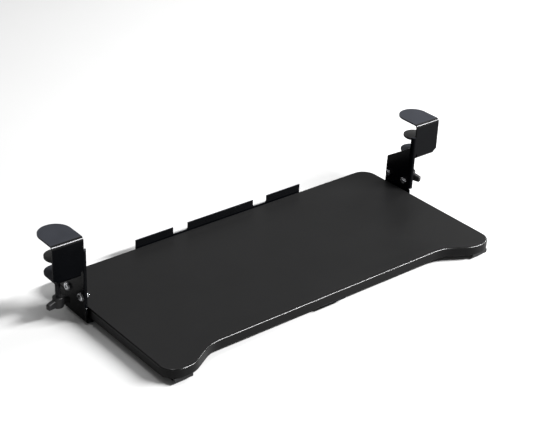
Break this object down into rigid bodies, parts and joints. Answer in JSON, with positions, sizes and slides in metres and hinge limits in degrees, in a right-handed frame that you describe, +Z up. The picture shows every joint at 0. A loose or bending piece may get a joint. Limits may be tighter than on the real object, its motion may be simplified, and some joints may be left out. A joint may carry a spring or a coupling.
{
  "type": "under-desk keyboard tray",
  "caption": "Pull-out keyboard tray: a board with a recessed front edge and a raised back stop, sliding on hangers that screw clamps hold to the edge of a desk.",
  "frame": {"origin": "midway between the clamps, where the desk's top surface meets its front edge", "axes": "+X to the user's right along the desk's edge, +Y away from the user under the desk, +Z up"},
  "size_m": [0.739, 0.3015, 0.1459],
  "materials": {
    "black_film_board": "matte black film over fibreboard",
    "black_steel": "fine black powder coat",
    "black_oxide": "black oxide, oiled",
    "zinc_steel": "bright zinc plate",
    "black_plastic": "fine-textured moulded plastic",
    "nylon": "smooth dark nylon",
    "rubber": "matte black rubber"
  },
  "bodies": {
    "clamps": {"left_clamp_bracket": "black_steel", "left_jaw_pad": "rubber", "left_clamp_nut": "black_steel", "left_hanger": "black_steel", "left_hanger_bolts": "zinc_steel", "left_hanger_washers": "zinc_steel", "left_hanger_nuts": "zinc_steel", "left_rear_glide": "nylon", "left_front_glide": "nylon", "left_glide_screws": "zinc_steel", "right_clamp_bracket": "black_steel", "right_jaw_pad": "rubber", "right_clamp_nut": "black_steel", "right_hanger": "black_steel", "right_hanger_bolts": "zinc_steel", "right_hanger_washers": "zinc_steel", "right_hanger_nuts": "zinc_steel", "right_rear_glide": "nylon", "right_front_glide": "nylon", "right_glide_screws": "zinc_steel"},
    "tray": {"tray_board": "black_film_board", "back_stop": "black_steel", "back_stop_screws": "zinc_steel", "track_screws": "zinc_steel", "track_stop_screws": "zinc_steel", "front_grip": "black_steel", "front_grip_screws": "zinc_steel", "left_track": "black_steel", "left_track_cap": "black_plastic", "right_track": "black_steel", "right_track_cap": "black_plastic"},
    "left_pad": {"left_pressure_pad": "black_steel", "left_pad_rubber": "rubber"},
    "left_screw": {"left_clamp_screw": "black_oxide", "left_clamp_knob": "black_plastic"},
    "right_pad": {"right_pressure_pad": "black_steel", "right_pad_rubber": "rubber"},
    "right_screw": {"right_clamp_screw": "black_oxide", "right_clamp_knob": "black_plastic"}
  },
  "joints": [
    {"name": "tray_slide", "type": "slide", "parent": "clamps", "child": "tray", "axis": [0, 1, 0], "range_m": [0, 0.19]},
    {"name": "left_pad_lift", "type": "slide", "parent": "clamps", "child": "left_pad", "axis": [0, 0, 1], "range_m": [-0.018, 0.024]},
    {"name": "left_screw_turn", "type": "hinge", "parent": "left_pad", "child": "left_screw", "pos_m": [-0.3457, 0.028, -0.075], "axis": [0, 0, 1], "range_deg": [-5184.5, 6912.5]},
    {"name": "right_pad_lift", "type": "slide", "parent": "clamps", "child": "right_pad", "axis": [0, 0, 1], "range_m": [-0.018, 0.024]},
    {"name": "right_screw_turn", "type": "hinge", "parent": "right_pad", "child": "right_screw", "pos_m": [0.3457, 0.028, -0.075], "axis": [0, 0, 1], "range_deg": [-5184.5, 6912.5]}
  ],
  "couplings": [
    {"joint": "left_screw_turn", "follows": "left_pad_lift", "rad_per_m": 5026.5},
    {"joint": "right_screw_turn", "follows": "right_pad_lift", "rad_per_m": 5026.5}
  ]
}
